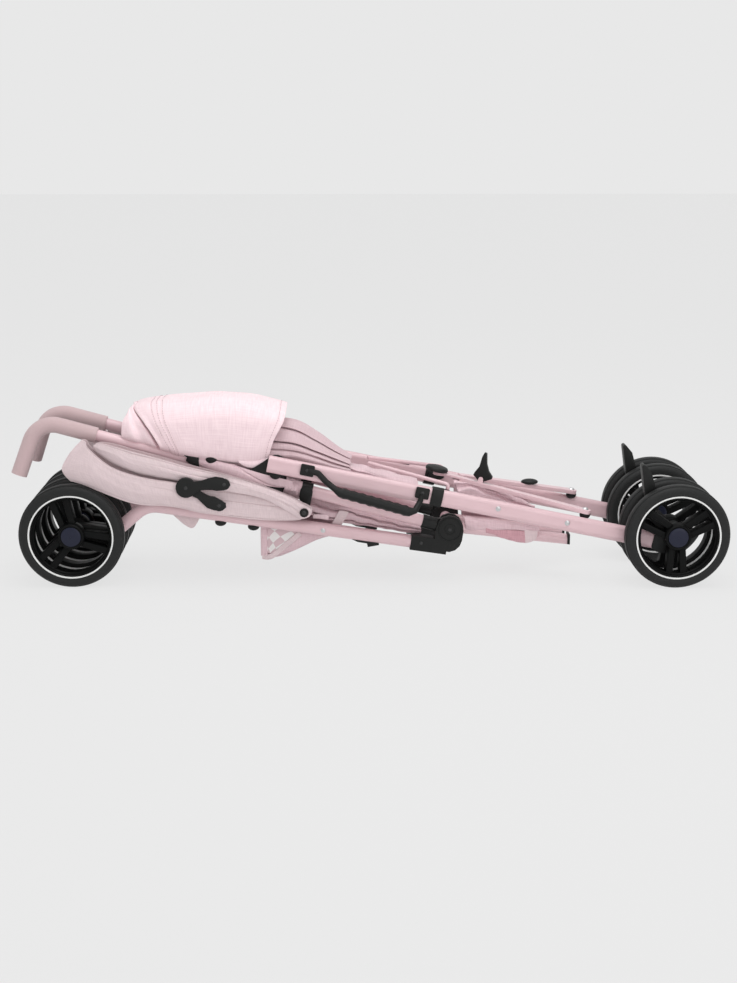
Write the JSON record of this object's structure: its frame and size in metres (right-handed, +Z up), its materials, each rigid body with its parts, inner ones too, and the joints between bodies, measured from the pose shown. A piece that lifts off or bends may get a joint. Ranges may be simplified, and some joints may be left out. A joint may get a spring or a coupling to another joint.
{
  "type": "umbrella-fold stroller",
  "caption": "Folded umbrella stroller with hooked foam handles, hinged legs, swivelling front wheel pairs, braked rear wheel pairs and gathered seat and canopy cloth.",
  "frame": {"origin": "on the floor under the middle of the folded stroller", "axes": "+X from the handles' end towards the rear wheels, +Y towards the stroller's left side, +Z up"},
  "size_m": [1.0374, 0.218, 0.272],
  "materials": {
    "frame_paint": "satin",
    "grip_foam": "matte",
    "black_plastic": "satin",
    "tyre": "matte",
    "cloth": "woven"
  },
  "bodies": {
    "root": {"handle_tube_right": "frame_paint", "handle_grip_right": "grip_foam", "knee_socket_right": "black_plastic", "pivot_bracket_right": "black_plastic", "calf_rail_right": "frame_paint", "canopy_clip_right": "black_plastic", "canopy_rear_right": "cloth", "calf_rest": "cloth", "seat_cloth": "cloth", "basket": "cloth"},
    "left_frame": {"handle_tube_left": "frame_paint", "handle_grip_left": "grip_foam", "knee_socket_left": "black_plastic", "pivot_bracket_left": "black_plastic", "calf_rail_left": "frame_paint", "canopy_clip_left": "black_plastic", "canopy_rear_left": "cloth"},
    "leg_right": {"knee_housing_right": "black_plastic", "front_leg_right": "frame_paint"},
    "caster_right": {"caster_fork_right": "black_plastic"},
    "rear_right": {"rear_leg_right": "frame_paint", "rear_bracket_right": "black_plastic", "leg_sleeve_right": "black_plastic", "back_rod_right": "frame_paint", "carry_handle": "black_plastic"},
    "lock_right": {"lock_bar_right": "frame_paint", "hub_knob": "black_plastic"},
    "canopy_right": {"canopy_front_right": "cloth"},
    "stay_rear_right": {"stay_rear_right": "black_plastic"},
    "stay_front_right": {"stay_front_right": "black_plastic"},
    "front_wheel_right_outer": {"front_tyre_right_outer": "tyre", "front_rim_right_outer": "black_plastic"},
    "front_wheel_right_inner": {"front_tyre_right_inner": "tyre", "front_rim_right_inner": "black_plastic"},
    "rear_wheel_right_outer": {"rear_tyre_right_outer": "tyre", "rear_rim_right_outer": "black_plastic"},
    "rear_wheel_right_inner": {"rear_tyre_right_inner": "tyre", "rear_rim_right_inner": "black_plastic"},
    "brake_right": {"brake_lever_right": "black_plastic"},
    "leg_left": {"knee_housing_left": "black_plastic", "front_leg_left": "frame_paint"},
    "caster_left": {"caster_fork_left": "black_plastic"},
    "rear_left": {"rear_leg_left": "frame_paint", "rear_bracket_left": "black_plastic", "leg_sleeve_left": "black_plastic", "back_rod_left": "frame_paint"},
    "lock_left": {"lock_bar_left": "frame_paint"},
    "canopy_left": {"canopy_front_left": "cloth"},
    "stay_rear_left": {"stay_rear_left": "black_plastic"},
    "stay_front_left": {"stay_front_left": "black_plastic"},
    "front_wheel_left_outer": {"front_tyre_left_outer": "tyre", "front_rim_left_outer": "black_plastic"},
    "front_wheel_left_inner": {"front_tyre_left_inner": "tyre", "front_rim_left_inner": "black_plastic"},
    "rear_wheel_left_outer": {"rear_tyre_left_outer": "tyre", "rear_rim_left_outer": "black_plastic"},
    "rear_wheel_left_inner": {"rear_tyre_left_inner": "tyre", "rear_rim_left_inner": "black_plastic"},
    "brake_left": {"brake_lever_left": "black_plastic"},
    "pedal": {"foot_pedal": "black_plastic"}
  },
  "joints": [
    {"name": "spread", "type": "slide", "parent": "root", "child": "left_frame", "axis": [0, 1, 0], "range_m": [0, 0.232]},
    {"name": "knee_right", "type": "hinge", "parent": "root", "child": "leg_right", "pos_m": [0.1167, -0.046, 0.0775], "axis": [0, -1, 0], "range_deg": [0, 170]},
    {"name": "caster_right", "type": "hinge", "parent": "leg_right", "child": "caster_right", "pos_m": [-0.3709, -0.046, 0.07768], "axis": [0.7623, 0, 0.6472], "range_deg": [0, 180]},
    {"name": "rear_right", "type": "hinge", "parent": "root", "child": "rear_right", "pos_m": [-0.1365, -0.072, 0.1791], "axis": [0, -1, 0], "range_deg": [0, 40]},
    {"name": "lock_right", "type": "hinge", "parent": "rear_right", "child": "lock_right", "pos_m": [0.3134, -0.064, 0.10618], "axis": [-0.2047, 0, -0.9788], "range_deg": [0, 35.8]},
    {"name": "canopy_right", "type": "hinge", "parent": "root", "child": "canopy_right", "pos_m": [-0.0965, 0, 0.1105], "axis": [0, -1, 0], "range_deg": [0, 37.5]},
    {"name": "stay_rear_right", "type": "hinge", "parent": "root", "child": "stay_rear_right", "pos_m": [-0.2105, 0, 0.154], "axis": [0, -1, 0], "range_deg": [0, 90.2]},
    {"name": "stay_front_right", "type": "hinge", "parent": "canopy_right", "child": "stay_front_right", "pos_m": [-0.2185, 0, 0.122], "axis": [0, -1, 0], "range_deg": [-92.7, 0]},
    {"name": "front_wheel_right_outer_spin", "type": "hinge", "parent": "caster_right", "child": "front_wheel_right_outer", "pos_m": [-0.4335, -0.07, 0.076], "axis": [0, -1, 0], "continuous": true},
    {"name": "front_wheel_right_inner_spin", "type": "hinge", "parent": "caster_right", "child": "front_wheel_right_inner", "pos_m": [-0.4335, -0.022, 0.076], "axis": [0, -1, 0], "continuous": true},
    {"name": "rear_wheel_right_outer_spin", "type": "hinge", "parent": "rear_right", "child": "rear_wheel_right_outer", "pos_m": [0.44303, -0.096, 0.076], "axis": [0, -1, 0], "continuous": true},
    {"name": "rear_wheel_right_inner_spin", "type": "hinge", "parent": "rear_right", "child": "rear_wheel_right_inner", "pos_m": [0.44303, -0.048, 0.076], "axis": [0, -1, 0], "continuous": true},
    {"name": "brake_right", "type": "hinge", "parent": "rear_right", "child": "brake_right", "pos_m": [0.41453, -0.072, 0.102], "axis": [0, 1, 0], "range_deg": [0, 20]},
    {"name": "knee_left", "type": "hinge", "parent": "left_frame", "child": "leg_left", "pos_m": [0.1167, 0.046, 0.0775], "axis": [0, -1, 0], "range_deg": [0, 170]},
    {"name": "caster_left", "type": "hinge", "parent": "leg_left", "child": "caster_left", "pos_m": [-0.3709, 0.046, 0.07768], "axis": [-0.7623, 0, -0.6472], "range_deg": [0, 180]},
    {"name": "rear_left", "type": "hinge", "parent": "left_frame", "child": "rear_left", "pos_m": [-0.1365, 0.072, 0.1791], "axis": [0, -1, 0], "range_deg": [0, 40]},
    {"name": "lock_left", "type": "hinge", "parent": "rear_left", "child": "lock_left", "pos_m": [0.3134, 0.064, 0.10618], "axis": [0.2047, 0, 0.9788], "range_deg": [0, 35.8]},
    {"name": "canopy_left", "type": "hinge", "parent": "left_frame", "child": "canopy_left", "pos_m": [-0.0965, 0, 0.1105], "axis": [0, -1, 0], "range_deg": [0, 37.5]},
    {"name": "stay_rear_left", "type": "hinge", "parent": "left_frame", "child": "stay_rear_left", "pos_m": [-0.2105, 0, 0.154], "axis": [0, -1, 0], "range_deg": [0, 90.2]},
    {"name": "stay_front_left", "type": "hinge", "parent": "canopy_left", "child": "stay_front_left", "pos_m": [-0.2185, 0, 0.122], "axis": [0, -1, 0], "range_deg": [-92.7, 0]},
    {"name": "front_wheel_left_outer_spin", "type": "hinge", "parent": "caster_left", "child": "front_wheel_left_outer", "pos_m": [-0.4335, 0.07, 0.076], "axis": [0, -1, 0], "continuous": true},
    {"name": "front_wheel_left_inner_spin", "type": "hinge", "parent": "caster_left", "child": "front_wheel_left_inner", "pos_m": [-0.4335, 0.022, 0.076], "axis": [0, -1, 0], "continuous": true},
    {"name": "rear_wheel_left_outer_spin", "type": "hinge", "parent": "rear_left", "child": "rear_wheel_left_outer", "pos_m": [0.44303, 0.096, 0.076], "axis": [0, -1, 0], "continuous": true},
    {"name": "rear_wheel_left_inner_spin", "type": "hinge", "parent": "rear_left", "child": "rear_wheel_left_inner", "pos_m": [0.44303, 0.048, 0.076], "axis": [0, -1, 0], "continuous": true},
    {"name": "brake_left", "type": "hinge", "parent": "rear_left", "child": "brake_left", "pos_m": [0.41453, 0.072, 0.102], "axis": [0, 1, 0], "range_deg": [0, 20]},
    {"name": "pedal", "type": "hinge", "parent": "lock_right", "child": "pedal", "pos_m": [0.16529, -0.01924, 0.14532], "axis": [0.2749, 0.9598, -0.0575], "range_deg": [0, 20], "stiffness_Nm_per_rad": 0.1, "springref_deg": -9.74}
  ],
  "couplings": [
    {"joint": "knee_right", "follows": "spread", "rad_per_m": 12.78},
    {"joint": "caster_right", "follows": "spread", "rad_per_m": 13.54},
    {"joint": "rear_right", "follows": "spread", "rad_per_m": 3},
    {"joint": "lock_right", "follows": "spread", "rad_per_m": 2.69},
    {"joint": "canopy_right", "follows": "spread", "rad_per_m": 2.82},
    {"joint": "stay_rear_right", "follows": "spread", "rad_per_m": 6.78},
    {"joint": "stay_front_right", "follows": "spread", "rad_per_m": -6.97},
    {"joint": "knee_left", "follows": "spread", "rad_per_m": 12.78},
    {"joint": "caster_left", "follows": "spread", "rad_per_m": 13.54},
    {"joint": "rear_left", "follows": "spread", "rad_per_m": 3},
    {"joint": "lock_left", "follows": "spread", "rad_per_m": 2.69},
    {"joint": "canopy_left", "follows": "spread", "rad_per_m": 2.82},
    {"joint": "stay_rear_left", "follows": "spread", "rad_per_m": 6.78},
    {"joint": "stay_front_left", "follows": "spread", "rad_per_m": -6.97}
  ]
}
